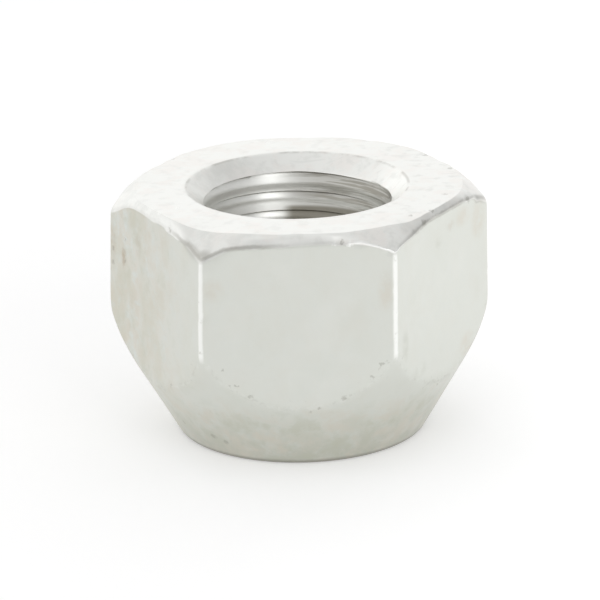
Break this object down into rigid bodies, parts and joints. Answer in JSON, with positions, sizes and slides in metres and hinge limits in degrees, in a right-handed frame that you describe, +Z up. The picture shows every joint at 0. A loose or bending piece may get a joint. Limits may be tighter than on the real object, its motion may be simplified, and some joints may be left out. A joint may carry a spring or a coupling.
{
  "type": "acorn lug nut",
  "caption": "Open-ended hexagonal wheel nut with a conical seat, a right-hand thread bore and a chamfered top, in bright zinc-plated steel.",
  "frame": {"origin": "middle of the small end, on the thread axis", "axes": "+Z up the thread axis from the small conical end to the flat top face; +X through a hexagon corner; +Y square to a hexagon flat"},
  "size_m": [0.0236, 0.0206, 0.0156],
  "materials": {
    "zinc_steel": "bright zinc plating over forged steel, satin, lightly stained and scuffed"
  },
  "bodies": {
    "root": {"lug_nut": "zinc_steel"}
  },
  "joints": []
}
